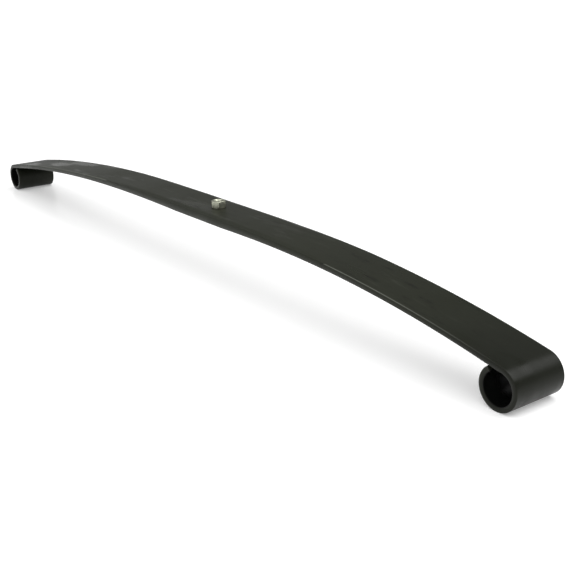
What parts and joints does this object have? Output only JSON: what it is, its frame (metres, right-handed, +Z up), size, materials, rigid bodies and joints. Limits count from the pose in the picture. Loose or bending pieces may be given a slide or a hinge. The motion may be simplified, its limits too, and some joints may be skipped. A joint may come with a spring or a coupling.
{
  "type": "single leaf spring",
  "caption": "Arched parabolic single-leaf road spring with a rolled eye at each end and a centre bolt with hex nut through its seat.",
  "frame": {"origin": "where the centre bolt's axis meets the underside of the leaf's seat, at the root of the locating head", "axes": "+X along the spring from the centre bolt towards the short arm's eye, +Y across the leaf along the eye bores, +Z up out of the nut"},
  "size_m": [1.0964, 0.06, 0.0866],
  "materials": {
    "leaf_paint": "satin black paint on spring steel",
    "zinc_steel": "bright zinc plate, faintly yellow"
  },
  "bodies": {
    "seat": {"leaf_centre": "leaf_paint", "centre_bolt": "zinc_steel", "centre_nut": "zinc_steel"},
    "short_arm": {"short_arm": "leaf_paint"},
    "long_arm": {"long_arm": "leaf_paint"}
  },
  "joints": [
    {"name": "short_arm_flex", "type": "hinge", "parent": "seat", "child": "short_arm", "pos_m": [0.15375, 0, 0.0086], "axis": [0, -1, 0], "range_deg": [0, 13.5], "stiffness_Nm_per_rad": 2090},
    {"name": "long_arm_flex", "type": "hinge", "parent": "seat", "child": "long_arm", "pos_m": [-0.185, 0, 0.00859], "axis": [0, 1, 0], "range_deg": [0, 10.5], "stiffness_Nm_per_rad": 1610}
  ]
}
